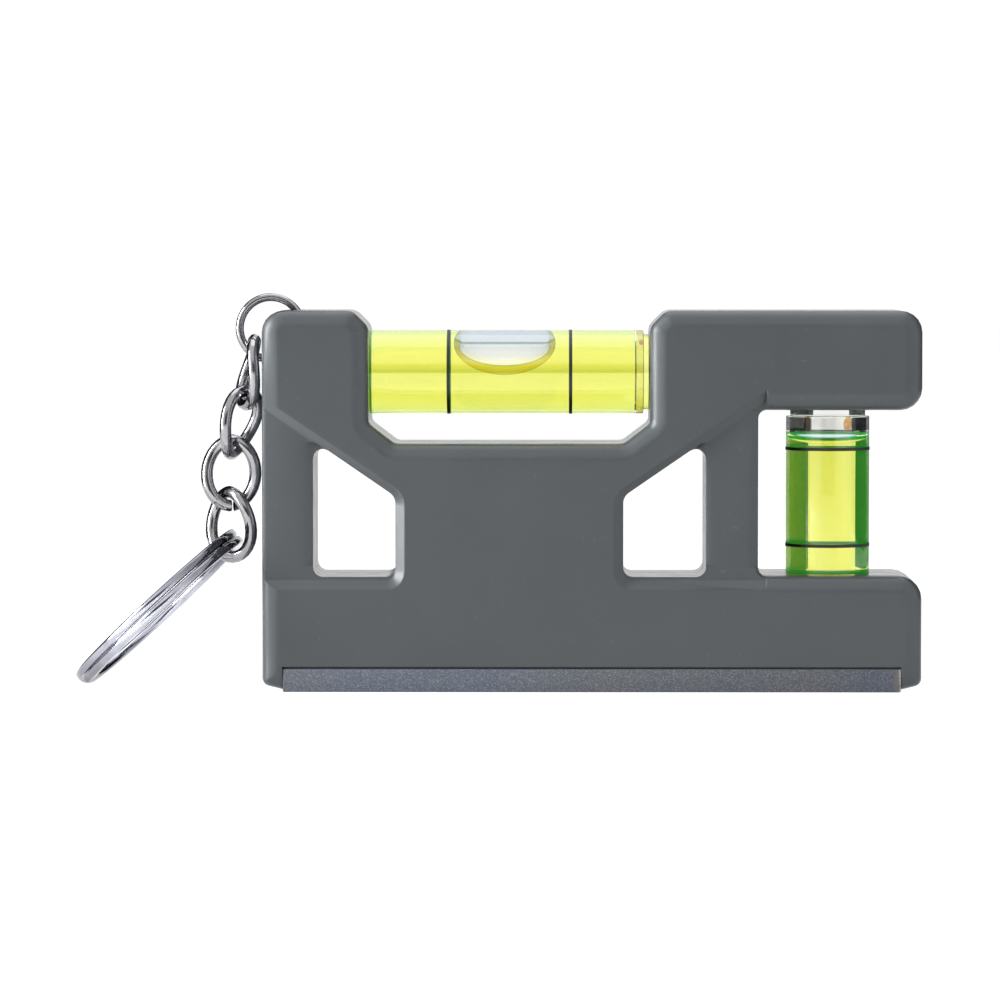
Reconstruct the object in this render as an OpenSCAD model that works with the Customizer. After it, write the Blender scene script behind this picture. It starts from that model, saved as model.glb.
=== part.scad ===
// Pocket spirit level with a magnetic base, two vials and a key chain.
// +X runs along the length, +Y goes to the back, +Z is up. The origin is the middle of the magnet's face.

/* [Body] */
// Length of the moulded body
body_len = 72; // [64:0.5:90]
// Height from the magnet's face to the top
body_h = 41.6; // [40.5:0.1:46]
// Thickness of the two shells together
body_t = 15; // [14.2:0.1:20]
// Outer corner radius of the arm and the left column
corner_r = 2.4; // [1.5:0.1:3]
// Outer corner radius of the base block's upper corner
base_corner_r = 2.6; // [2:0.1:4]
// Width of the soft edge round the raised face
edge_w = 1.9; // [1.2:0.1:2.2]
// Depth of the soft edge round the raised face
edge_d = 1.45; // [0.8:0.05:2]

/* [Top cut-out] */
// Distance from the body's middle to the cut-out's middle, towards the chain
cutout_shift = 9; // [7:0.1:11]
// Width of the cut-out between the two columns
cutout_w = 30.7; // [28:0.1:32]
// Depth of the cut-out's floor below the top
cutout_depth = 14.5; // [13.6:0.1:15]
// Height of the cut-out's corner slopes
cutout_slope_h = 2.2; // [1.5:0.1:3]
// Width of the cut-out's corner slopes
cutout_slope_w = 2.9; // [2:0.1:4]
// Size of the chamfers at the cut-out's mouth
mouth_chamfer = 1.75; // [1:0.05:2.5]

/* [Windows] */
// Distance from the cut-out's middle to the near side of a window
window_near = 12.4; // [11:0.1:14]
// Distance from the cut-out's middle to the far side of a window
window_far = 21.44; // [19:0.1:22]
// Height of the window sills
window_sill = 12.54; // [11.5:0.1:14]
// Height of a window's short side
window_short = 8.8; // [7:0.1:9.5]
// Height of a window's tall side
window_tall = 15; // [13:0.1:15.5]
// Corner radius of the windows
window_r = 1.1; // [0.6:0.1:1.5]
// Draft of the window walls, from the face to the parting plane
window_draft = 0.14; // [0.05:0.01:0.3]

/* [Pockets] */
// Depth of the pockets round the windows
pocket_d = 0.8; // [0.4:0.05:1]
// Width of a pocket's sloped wall
pocket_wall = 1.05; // [0.8:0.05:1.5]
// Margin between a window's short side and the pocket's crease
pocket_side = 1; // [0.6:0.05:1.4]
// Margin between a window's sill and the pocket's crease
pocket_below = 1.35; // [1:0.05:1.8]
// Width of the bevels on a window post
post_bevel = 1; // [0.6:0.05:1.4]

/* [Side slot] */
// Distance from the body's right end to the slot's inner wall
slot_depth = 17.85; // [16:0.05:18.5]
// Height of the base block beside the vertical vial
base_h = 12.7; // [11.5:0.1:14]
// Height of the arm, from its lower face to the top
arm_h = 10.85; // [9.2:0.05:11.5]
// Radius of the slot's inner corners
slot_r = 0.9; // [0.5:0.1:1.4]

/* [Magnet] */
// Length of the lip at either end of the magnetic strip
lip_len = 2.3; // [1.8:0.1:5]
// Thickness of the magnetic strip
magnet_t = 2.55; // [1.5:0.05:3]
// Thickness of the adhesive tape above it
tape_t = 0.2; // [0.1:0.05:0.4]
// How far the tape stands back from the strip's long edges
tape_inset = 0.25; // [0.1:0.05:1]
// How far the end lips stop above the magnet's face
lip_gap = 0.2; // [0.1:0.05:0.5]
// Rise of a lip's underside towards its end
lip_rise = 0.55; // [0.2:0.05:0.9]

/* [Vials] */
// Outer diameter of a vial's tube
vial_d = 9.2; // [8.6:0.1:9.6]
// Radius of the chamber at its ends
chamber_r = 3.5; // [3:0.05:3.7]
// How much the barrel-shaped chamber widens towards its middle
barrel_rise = 0.12; // [0.05:0.01:0.2]
// Thickness of the tube's closed end
vial_end_t = 1.2; // [0.8:0.1:2]
// Diameter of the plug's stub
stub_d = 8.3; // [7.6:0.1:8.5]
// Thickness of the glue between spigot and tube
glue_t = 0.12; // [0.05:0.01:0.2]
// Width of a printed line
line_w = 0.35; // [0.2:0.05:0.6]
// Thickness of a printed line
line_t = 0.05; // [0.03:0.01:0.1]
// Gap between the level vial's tube and the right column
level_gap = 0.65; // [0.3:0.05:1.5]
// Depth of the level vial's axis below the top
level_depth = 6.8; // [6:0.1:7.6]
// Length of the level plug's spigot inside the tube
level_spigot = 0.95; // [0.8:0.05:2.4]
// Distance between the level vial's lines
level_lines = 13.4; // [12:0.1:15]
// Depth of the level vial's seat in the left column
level_seat = 2.95; // [2:0.05:3.5]
// Gap between the plumb vial's tube and the arm
plumb_gap = 0.75; // [0.5:0.05:2]
// Length of the plumb plug's spigot inside the tube
plumb_spigot = 1.75; // [1:0.05:2.4]
// Distance from the slot's inner wall to the plumb vial's axis
plumb_out = 7.85; // [6.5:0.05:9]
// Distance between the plumb vial's lines
plumb_lines = 10.6; // [9:0.1:12]
// Depth of the plumb vial's seat in the base block
plumb_seat = 2.9; // [2:0.05:3.5]
// How far a stub reaches into its column or arm
stub_seat = 2.4; // [1.5:0.1:3]

/* [Bubbles] */
// Length of the level vial's bubble
level_bubble_len = 11.2; // [9:0.1:12]
// Height of the level vial's bubble
level_bubble_h = 3.7; // [2.5:0.05:4.6]
// How far the bubble stands off the middle in the photographed state
level_bubble_off = 0.55; // [0:0.05:1]
// Height of the plumb vial's bubble
plumb_bubble_h = 1.3; // [1:0.05:2.5]

/* [Chain] */
// Mean radius of the jump ring
jump_r = 3.44; // [3.2:0.02:3.8]
// Wire diameter of the jump ring
jump_wire = 0.9; // [0.7:0.05:1]
// Outer length of a chain link
link_len = 8.55; // [8.3:0.05:9]
// Outer width of a chain link
link_w = 6.7; // [6.4:0.05:7.2]
// Wire diameter of a chain link
link_wire = 1.33; // [1.1:0.01:1.35]
// Twist of a link from its middle to either end, in degrees
link_twist = 16; // [10:1:25]
// Play between the wires of two links
link_play = 0.2; // [0.15:0.05:0.4]
// Outer radius of the split ring
split_r = 11.9; // [11.5:0.1:12.5]
// Radial width of the split ring's wire
split_w = 1.6; // [1.3:0.05:1.7]
// Thickness of one coil of the split ring
coil_t = 0.9; // [0.8:0.05:1.25]
// Gap between the two coils
coil_gap = 0.1; // [0.06:0.01:0.15]

/* [Hidden] */

// Clearance of the vials in their seats, and of a bubble in its liquid
fit = 0.05;
// How far a cutter runs past the face it cuts
past = 1;
// Radius below which an inset corner isn't rounded any further
least_r = 0.06;
// Steps in each rounded corner of an outline
arc_steps = 5;
// Round pieces
$fn = 96;

half_len = body_len / 2;
half_t = body_t / 2;
arm_z = body_h - arm_h;
cutout_floor = body_h - cutout_depth;
magnet_len = body_len - 2 * lip_len;
cutout_x = -cutout_shift;
cutout_left = cutout_x - cutout_w / 2;
cutout_right = cutout_x + cutout_w / 2;
slot_x = half_len - slot_depth;
recess_top = magnet_t + tape_t;
// The parting line is a fine groove
groove_w = 0.15;
groove_d = 0.07;

// The soft edge falls slowly from the crease and then turns down: [inset, depth] as shares of its size
edge_profile = [[0, 1], [0.07, 0.7], [0.2, 0.46], [0.42, 0.26], [0.7, 0.1], [1, 0]];

grey = [0.38, 0.40, 0.41];
lime = [0.87, 0.95, 0.25, 0.6];
clear = [0.93, 0.95, 0.95, 0.35];
nickel = [0.75, 0.75, 0.77];

// Outlines: a corner is [x, z, radius], and the list goes round with the inside on its left

function unit(v) = v / norm(v);
function left_of(v) = [-v.y, v.x];
function turn(a, b) = atan2(a.x * b.y - a.y * b.x, a * b);

// Points of one rounded corner after the outline is moved inwards by `inset`
function corner_arc(c, i, inset) =
    let (n = len(c),
         at = [c[i].x, c[i].y],
         before = c[(i + n - 1) % n],
         after = c[(i + 1) % n],
         n1 = left_of(unit(at - [before.x, before.y])),
         n2 = left_of(unit([after.x, after.y] - at)),
         mitre = (n1 + n2) / (1 + n1 * n2),
         bend = turn(n1, n2),
         side = sign(bend),
         r = max(least_r, c[i].z - side * inset),
         middle = at + mitre * (inset + side * r),
         start = atan2(n1.y, n1.x))
    [for (k = [0:arc_steps])
        let (a = start + bend * k / arc_steps)
        middle - side * r * [cos(a), sin(a)]];

function outline(c, inset = 0) = [for (i = [0:len(c) - 1]) each corner_arc(c, i, inset)];

// Skin over rings of equal point count, each [y, points], in order of rising y
module loft(rings) {
    n = len(rings[0][1]);
    last = len(rings) - 1;
    points = [for (ring = rings) each [for (p = ring[1]) [p.x, ring[0], p.y]]];
    sides = [for (k = [0:last - 1]) for (i = [0:n - 1])
        let (j = (i + 1) % n)
        each [[k * n + i, k * n + j, (k + 1) * n + j], [k * n + i, (k + 1) * n + j, (k + 1) * n + i]]];
    front = [for (i = [n - 1:-1:0]) i];
    back = [for (i = [0:n - 1]) last * n + i];
    polyhedron(concat(points, []), concat([front], sides, [back]));
}

// Body

body_corners = [
    [-half_len, lip_gap + lip_rise, 0.9],
    [magnet_len / -2, lip_gap, 0.1],
    [magnet_len / 2, lip_gap, 0.1],
    [half_len, lip_gap + lip_rise, 0.9],
    [half_len, base_h, base_corner_r],
    [slot_x, base_h, slot_r],
    [slot_x, arm_z, slot_r],
    [half_len, arm_z, corner_r],
    [half_len, body_h, corner_r],
    [cutout_right + mouth_chamfer, body_h, 1.6],
    [cutout_right, body_h - mouth_chamfer, 1.6],
    [cutout_right, cutout_floor + cutout_slope_h, 0.9],
    [cutout_right - cutout_slope_w, cutout_floor, 1.2],
    [cutout_left + cutout_slope_w, cutout_floor, 1.2],
    [cutout_left, cutout_floor + cutout_slope_h, 0.9],
    [cutout_left, body_h - mouth_chamfer, 1.6],
    [cutout_left - mouth_chamfer, body_h, 1.6],
    [-half_len, body_h, corner_r]];

// The left window, which the right one mirrors about the cut-out's middle
window_left = cutout_x - window_far;
window_right = cutout_x - window_near;
window_slope = (window_tall - window_short) / (window_far - window_near);
window_corners = [
    [window_left, window_sill, window_r],
    [window_right, window_sill, window_r],
    [window_right, window_sill + window_short, window_r + 0.4],
    [window_left, window_sill + window_tall, window_r]];

// The pocket round it runs out over the body's end, here by `pocket_out`
pocket_out = 4;
pocket_top = 0.8 * sqrt(1 + window_slope * window_slope);
pocket_right = window_right + pocket_side;
pocket_left = -half_len - pocket_out;
pocket_bottom = window_sill - pocket_below;
function pocket_z(x) = window_sill + window_short + pocket_top + window_slope * (window_right - x);
pocket_corners = [
    [pocket_left, pocket_bottom, 0.5],
    [pocket_right, pocket_bottom, 2],
    [pocket_right, pocket_z(pocket_right), 2.4],
    [pocket_left, pocket_z(pocket_left), 0.5]];

// Bevel on the post beside the window, from the window's far side or from the post's other side
bevel_d = 0.3;
bevel_z0 = window_sill + 0.2;
slope_foot = pocket_wall * sqrt(1 + window_slope * window_slope);
outer_bevel = 0.6;

module post_bevel_cut(x, side, width) {
    z1 = min(pocket_z(x) - slope_foot, arm_z);
    high = [[x + side * width, bevel_z0 + width], [x - side * past, bevel_z0 + width],
            [x - side * past, z1], [x + side * width, z1]];
    low = [for (p = high) [side * (p.x - x) > 0 ? x : p.x, p.y]];
    rise = 0.05;
    run = [for (i = [0:3]) high[i] + (high[i] - low[i]) * rise / bevel_d];
    loft([[-half_t + pocket_d - rise, side > 0 ? [for (i = [3:-1:0]) run[i]] : run],
          [-half_t + pocket_d + bevel_d, side > 0 ? [for (i = [3:-1:0]) low[i]] : low]]);
}

// Nothing of the right pocket runs on under the arm
module short_of_arm() {
    intersection() {
        children();
        translate([cutout_x, -half_t - past, 0]) cube([slot_x + slot_r - cutout_x, half_t, body_h]);
    }
}

module pocket_cut() {
    over = 0.3;
    slope = pocket_wall / pocket_d;
    loft([[-half_t - over, outline(pocket_corners, -over * slope)],
          [-half_t + pocket_d, outline(pocket_corners, pocket_wall)]]);
}

module window_cut() {
    loft([[-half_t - past, outline(window_corners, -window_draft * past / half_t)],
          [-groove_w, outline(window_corners, window_draft)],
          [0, outline(window_corners, window_draft - groove_d)],
          [past, outline(window_corners, window_draft - groove_d)]]);
}

module left_to_right() {
    translate([2 * cutout_x, 0, 0]) mirror([1, 0, 0]) children();
}

module left_and_right() {
    children();
    left_to_right() children();
}

// Seats for the two vials and their stubs, all round bores
vial_r = vial_d / 2;
stub_r = stub_d / 2;
level_x0 = cutout_left - level_seat;
level_x1 = cutout_right - level_gap;
level_len = level_x1 - level_x0;
level_z = body_h - level_depth;
plumb_x = slot_x + plumb_out;
plumb_z0 = base_h - plumb_seat;
plumb_z1 = arm_z - plumb_gap;
plumb_len = plumb_z1 - plumb_z0;

module vial_seats() {
    translate([level_x0 - fit, 0, level_z]) rotate([0, 90, 0]) cylinder(h = level_len, r = vial_r + fit);
    translate([level_x1, 0, level_z]) rotate([0, 90, 0])
        cylinder(h = cutout_right - level_x1 + stub_seat + fit, r = stub_r + fit);
    translate([plumb_x, 0, plumb_z0 - fit]) cylinder(h = plumb_len, r = vial_r + fit);
    translate([plumb_x, 0, plumb_z1]) cylinder(h = arm_z - plumb_z1 + stub_seat + fit, r = stub_r + fit);
}

// The jump ring runs in a round channel through the top left corner
jump_x = -half_len + 0.7;
jump_z = body_h - 2.03;
channel_r = jump_wire / 2 + 0.35;

module jump_channel() {
    translate([jump_x, 0, jump_z]) rotate([90, 0, 0])
        rotate_extrude() translate([jump_r, 0]) circle(channel_r, $fn = 32);
}

module magnet_recess() {
    translate([-magnet_len / 2 - fit, -half_t - past, -past])
        cube([magnet_len + 2 * fit, body_t + 2 * past, recess_top + past]);
}

// Front half, from the raised face to the parting plane
module half_body() {
    rings = concat(
        [for (i = [len(edge_profile) - 1:-1:0])
            [-half_t + edge_profile[i][1] * edge_d, outline(body_corners, edge_profile[i][0] * edge_w)]],
        [[-groove_w, outline(body_corners, 0)], [0, outline(body_corners, groove_d)]]);
    difference() {
        loft(rings);
        pocket_cut();
        short_of_arm() left_to_right() pocket_cut();
        left_and_right() {
            window_cut();
            post_bevel_cut(window_left, -1, post_bevel);
        }
        post_bevel_cut(-half_len, 1, outer_bevel);
        left_to_right() post_bevel_cut(2 * cutout_x - slot_x, 1, post_bevel);
        vial_seats();
        jump_channel();
        magnet_recess();
    }
}

// Four pins on the front shell fit sockets in the rear one
pin_r = 1;
pin_len = 3;
pin_spots = [[-half_len + 7, base_h - 5.5], [half_len - 8, base_h - 5.5],
             [cutout_x, cutout_floor - 6], [slot_x - 5, body_h - 4.5]];

module pins(r, length) {
    for (p = pin_spots)
        translate([p.x, -past, p.y]) rotate([-90, 0, 0]) cylinder(h = length + past, r = r, $fn = 32);
}

module front_shell() {
    color(grey) union() {
        half_body();
        pins(pin_r, pin_len);
    }
}

module rear_shell() {
    color(grey) difference() {
        mirror([0, 1, 0]) half_body();
        pins(pin_r + fit, pin_len + 4 * fit);
    }
}

// Magnetic base

module magnet_strip() {
    color([0.33, 0.34, 0.38])
        translate([-magnet_len / 2, -half_t + fit, 0]) cube([magnet_len, body_t - 2 * fit, magnet_t]);
}

module adhesive_tape() {
    color([0.08, 0.08, 0.08])
        translate([-magnet_len / 2 + tape_inset, -half_t + tape_inset, magnet_t])
            cube([magnet_len - 2 * tape_inset, body_t - 2 * tape_inset, tape_t]);
}

// Vials stand on z = 0 with the closed end down, and are laid in place by the modules at the end

mouth_r = chamber_r + 0.1;
barrel_steps = 12;

function barrel(length, spigot, gap = 0) =
    let (z0 = vial_end_t + gap, z1 = length - spigot - gap)
    [for (k = [0:barrel_steps])
        let (s = k / barrel_steps)
        [chamber_r - gap + barrel_rise * 4 * s * (1 - s), z0 + (z1 - z0) * s]];

module vial_tube(length, spigot) {
    color(clear) rotate_extrude() polygon(concat(
        [[0, 0], [vial_r, 0], [vial_r, length], [mouth_r, length], [mouth_r, length - spigot]],
        [for (k = [barrel_steps:-1:0]) barrel(length, spigot)[k]],
        [[0, vial_end_t]]));
}

module vial_plug(length, spigot, stub_len) {
    color([0.9, 0.9, 0.88]) union() {
        translate([0, 0, length]) cylinder(h = stub_len, r = stub_r);
        translate([0, 0, length - spigot]) cylinder(h = spigot, r = mouth_r - glue_t);
    }
}

module vial_sealant(length, spigot) {
    color([0.55, 0.4, 0.2]) translate([0, 0, length - spigot]) rotate_extrude()
        translate([mouth_r - glue_t, 0]) square([glue_t, spigot]);
}

module vial_lines(middle, spread) {
    color([0.05, 0.05, 0.05]) for (side = [-1, 1])
        translate([0, 0, middle + side * spread / 2 - line_w / 2]) rotate_extrude()
            translate([vial_r, 0]) square([line_t, line_w]);
}

// Bubble of the level vial: a bowl as wide as the chamber, trimmed by the chamber's round wall.
// The vial lies along z here, and +x is up.
bubble_r = chamber_r - fit;
bowl_share = 0.7;

module level_bubble_shape(gap = 0) {
    length = level_bubble_len / 2 + gap;
    depth = level_bubble_h * bowl_share + gap;
    rim = bubble_r - level_bubble_h + level_bubble_h * bowl_share;
    bowl = [for (a = [-90:7.5:90]) [length * cos(a), depth * sin(a)]];
    intersection() {
        translate([rim, 0, 0]) scale([1, (bubble_r + gap) / length, 1])
            rotate([0, 90, 0]) rotate_extrude() polygon(bowl);
        cylinder(h = 2 * length + 2, r = bubble_r + gap * 0.6, center = true);
    }
}

// Bubble of the plumb vial: a flat disc under the plug with a rounded meniscus
module plumb_bubble_shape(length, gap = 0) {
    top = length - plumb_spigot - 0.05;
    sag = plumb_bubble_h * 0.75;
    translate([0, 0, top]) rotate_extrude() polygon(concat(
        [[0, gap * 0.4], [bubble_r - 0.2 + gap * 0.6, gap * 0.4], [bubble_r + gap * 0.6, -0.2]],
        [for (k = [0:8]) let (a = 90 * k / 8)
            [(bubble_r + gap * 0.6) * cos(a), -plumb_bubble_h + sag - (sag + gap) * sin(a)]]));
}

module vial_liquid(length, spigot, gap) {
    color(lime) difference() {
        rotate_extrude() polygon(concat([[0, vial_end_t + gap]], barrel(length, spigot, gap),
                                        [[0, length - spigot - gap]]));
        children();
    }
}

// Level vial along +X, and plumb vial upright

bubble_at = level_x0 + vial_end_t;
level_mid = cutout_x - level_x0;
plumb_mid = (base_h + arm_z) / 2 - plumb_z0 - 0.85;

module in_level_vial() {
    translate([level_x0, 0, level_z]) rotate([0, 90, 0]) children();
}

module in_plumb_vial() {
    translate([plumb_x, 0, plumb_z0]) children();
}

// Turned so that +x in a bubble's own frame points up
module at_level_bubble() {
    translate([0, 0, level_mid - level_bubble_off]) rotate([0, 0, 180]) children();
}

module level_vial_tube() {
    in_level_vial() vial_tube(level_len, level_spigot);
}

module level_vial_plug() {
    in_level_vial() vial_plug(level_len, level_spigot, cutout_right - level_x1 + stub_seat);
}

module level_vial_sealant() {
    in_level_vial() vial_sealant(level_len, level_spigot);
}

module level_vial_liquid() {
    in_level_vial() vial_liquid(level_len, level_spigot, 0.02) at_level_bubble() level_bubble_shape(fit);
}

module level_vial_lines() {
    in_level_vial() vial_lines(level_mid, level_lines);
}

module level_bubble() {
    color([0.97, 0.97, 1, 0.5]) in_level_vial() at_level_bubble() level_bubble_shape();
}

module plumb_vial_tube() {
    in_plumb_vial() vial_tube(plumb_len, plumb_spigot);
}

module plumb_vial_plug() {
    in_plumb_vial() vial_plug(plumb_len, plumb_spigot, arm_z - plumb_z1 + stub_seat);
}

module plumb_vial_sealant() {
    in_plumb_vial() vial_sealant(plumb_len, plumb_spigot);
}

module plumb_vial_liquid() {
    in_plumb_vial() vial_liquid(plumb_len, plumb_spigot, 0.02) plumb_bubble_shape(plumb_len, fit);
}

module plumb_vial_lines() {
    in_plumb_vial() vial_lines(plumb_mid, plumb_lines);
}

module plumb_bubble() {
    color([0.97, 0.97, 1, 0.5]) in_plumb_vial() plumb_bubble_shape(plumb_len);
}

// Key chain

// Closed or open skin of sections, each a list of points in space
module sweep(sections, closed) {
    n = len(sections[0]);
    m = len(sections);
    last = closed ? m - 1 : m - 2;
    sides = [for (k = [0:last]) for (i = [0:n - 1])
        let (j = (i + 1) % n, a = k * n, b = ((k + 1) % m) * n)
        each [[a + i, a + j, b + j], [a + i, b + j, b + i]]];
    caps = closed ? [] : [[for (i = [n - 1:-1:0]) i], [for (i = [0:n - 1]) (m - 1) * n + i]];
    polyhedron([for (s = sections) each s], concat(sides, caps));
}

// The jump ring's butt joint is hidden in the shells
module jump_ring() {
    joint_gap = 3;
    color(nickel) translate([jump_x, 0, jump_z]) rotate([90, 0, 0])
        rotate([0, 0, -30 + joint_gap / 2]) rotate_extrude(angle = 360 - joint_gap)
            translate([jump_r, 0]) circle(jump_wire / 2, $fn = 32);
}

link_a = (link_w - link_wire) / 2;
link_b = (link_len - link_wire) / 2;
link_rings = 32;
link_sides = 10;

// A curb link: an oval whose plane turns by `link_twist` from the middle to either end
function link_point(t) =
    let (u = link_a * cos(t), a = -link_twist * sin(t))
    [u * cos(a), u * sin(a), link_b * sin(t)];

module link() {
    sections = [for (k = [0:link_rings - 1])
        let (t = 360 * k / link_rings,
             p = link_point(t),
             along = unit(link_point(t + 1) - link_point(t - 1)),
             outward = unit(p - along * (p * along)),
             across = cross(along, outward))
        [for (i = [0:link_sides - 1])
            let (a = 360 * i / link_sides)
            p + link_wire / 2 * (outward * cos(a) + across * sin(a))]];
    sweep(sections, true);
}

// Each link hangs in the one above: its top, its lean in the picture plane and its turn about its length
link_lean = [8, 16, 3, -2.5];
link_turn = [-78, 58, 0, -34];
jump_hold = jump_r - jump_wire / 2 - link_wire / 2 - 0.12;
jump_hold_angle = 215;
link_drop = 2 * link_b;
link_hook = link_wire + link_play;

function down(lean, d) = [-d * sin(lean), 0, -d * cos(lean)];
function link_top(i) = i == 0
    ? [jump_x + jump_hold * cos(jump_hold_angle), 0, jump_z + jump_hold * sin(jump_hold_angle)]
    : link_bottom(i - 1) - down((link_lean[i - 1] + link_lean[i]) / 2, link_hook);
function link_bottom(i) = link_top(i) + down(link_lean[i], link_drop);

module chain_link(i) {
    color(nickel) translate((link_top(i) + link_bottom(i)) / 2)
        rotate([0, link_lean[i], 0]) rotate([0, 0, link_turn[i]]) link();
}

module chain_link_1() {
    chain_link(0);
}

module chain_link_2() {
    chain_link(1);
}

module chain_link_3() {
    chain_link(2);
}

module chain_link_4() {
    chain_link(3);
}

// Split ring: two coils of flat wire, joined by a step at the ring's low end
split_tip = 2.9;
split_corner = 0.3;
coil_pitch = coil_t + coil_gap;
step_half = 20;
step_clear = 3;
split_step = 9;
split_mid = split_r - split_w / 2;
// Half sizes of the two coils' section, without its corners
section_t = coil_pitch / 2 + coil_t / 2 - split_corner;
section_w = split_w / 2 - split_corner;
// Its top passes through the last link's lower end, and it leans until its low side rests on the ground
rest_gap = 0.02;
split_hang_x = 0;
split_hang_z = link_wire / 2 + link_play + split_corner + norm([section_t, section_w]);
split_top_z = link_bottom(3).z + split_hang_z - split_corner - rest_gap;
split_reach = split_r - split_corner + split_mid;
split_lean = asin(min(1, split_top_z / norm([split_reach, section_t]))) - atan2(section_t, split_reach);
split_rest = (split_r - split_corner) * sin(split_lean) + section_t * cos(split_lean) + split_corner + rest_gap;
split_at = [link_bottom(3).x + split_hang_x - split_mid * cos(split_lean), 0, split_rest];

function step_share(a) = a < -step_half ? 0 : a > step_half ? 1 : 0.5 - 0.5 * cos(90 * (a / step_half + 1));

// Flat wire with rounded corners
wire_section = let (x = section_w, z = coil_t / 2 - split_corner)
    [for (c = [[1, 1, 0], [-1, 1, 90], [-1, -1, 180], [1, -1, 270]]) for (k = [0:2])
        let (a = c.z + 45 * k)
        [c.x * x + split_corner * cos(a), c.y * z + split_corner * sin(a)]];

module split_ring() {
    first = -360 + step_half + step_clear;
    final = 360 - step_half - step_clear;
    count = round((final - first) / split_step);
    sections = [for (k = [0:count])
        let (a = first + (final - first) * k / count,
             h = coil_pitch * (step_share(a) - 0.5))
        [for (p = wire_section) [(split_mid + p.x) * cos(a), (split_mid + p.x) * sin(a), h + p.y]]];
    color([0.78, 0.79, 0.84]) translate(split_at) rotate([-split_tip, -split_lean, 0])
        rotate([0, 0, 180]) sweep(sections, false);
}

front_shell();
rear_shell();
magnet_strip();
adhesive_tape();
level_vial_tube();
level_vial_plug();
level_vial_sealant();
level_vial_liquid();
level_vial_lines();
level_bubble();
plumb_vial_tube();
plumb_vial_plug();
plumb_vial_sealant();
plumb_vial_liquid();
plumb_vial_lines();
plumb_bubble();
jump_ring();
chain_link_1();
chain_link_2();
chain_link_3();
chain_link_4();
split_ring();
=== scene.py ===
"""Looks of the pocket spirit level, built around its CAD solids.

Lengths in this file are metres unless a name ends in _mm. The level stands on its magnetic base
at z = 0, with its two shells parting on y = 0 and the chain at -X.
"""

import math
from collections import namedtuple
from contextlib import contextmanager

import bpy
from mathutils import Matrix, Vector


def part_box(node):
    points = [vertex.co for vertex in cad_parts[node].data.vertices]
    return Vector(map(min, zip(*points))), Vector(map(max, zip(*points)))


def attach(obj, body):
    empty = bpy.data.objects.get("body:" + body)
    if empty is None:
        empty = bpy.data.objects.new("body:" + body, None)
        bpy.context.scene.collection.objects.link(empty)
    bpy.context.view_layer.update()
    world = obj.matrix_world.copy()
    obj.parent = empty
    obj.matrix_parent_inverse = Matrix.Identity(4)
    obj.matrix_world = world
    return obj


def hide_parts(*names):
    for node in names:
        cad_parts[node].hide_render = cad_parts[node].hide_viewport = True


bl_info = {
    "name": "Pocket spirit level",
    "version": (1, 0, 0),
    "blender": (4, 5, 0),
    "location": "View3D > Sidebar > Spirit level",
    "description": "Shells, magnet, vials, chain and key ring of a pocket spirit level",
    "category": "Mesh",
}

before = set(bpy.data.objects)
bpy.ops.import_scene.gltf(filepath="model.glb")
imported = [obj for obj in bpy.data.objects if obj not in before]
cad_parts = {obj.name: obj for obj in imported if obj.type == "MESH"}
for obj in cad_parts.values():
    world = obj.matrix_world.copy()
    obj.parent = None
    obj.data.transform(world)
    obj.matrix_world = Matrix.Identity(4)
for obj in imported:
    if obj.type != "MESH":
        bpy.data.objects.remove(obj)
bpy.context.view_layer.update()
MM = 0.001
PLASTIC_IOR = 1.47
LIQUID_IOR = 1.38
WHITE = (1, 1, 1)
BLACK = (0, 0, 0)


# Sizes and colours


class BodyLook(bpy.types.PropertyGroup):
    """Moulded shells and the magnetic strip."""

    plastic: bpy.props.FloatVectorProperty(
        name="Plastic", description="Colour of the moulded plastic",
        default=(0.051, 0.0575, 0.063), size=3, min=0, max=1, subtype="COLOR")
    edge_radius: bpy.props.FloatProperty(
        name="Edge radius", description="Radius that softens the moulded edges",
        default=0.25 * MM, min=0, max=1 * MM, unit="LENGTH")
    grain: bpy.props.FloatProperty(
        name="Grain", description="Number of grains of the moulded texture in a metre",
        default=5200, min=500, max=20000)
    magnet: bpy.props.FloatVectorProperty(
        name="Magnet", description="Colour of the magnetic strip",
        default=(0.080, 0.090, 0.110), size=3, min=0, max=1, subtype="COLOR")
    magnet_speck: bpy.props.FloatVectorProperty(
        name="Magnet specks", description="Colour of the light specks in the strip",
        default=(0.22, 0.24, 0.28), size=3, min=0, max=1, subtype="COLOR")


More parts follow.
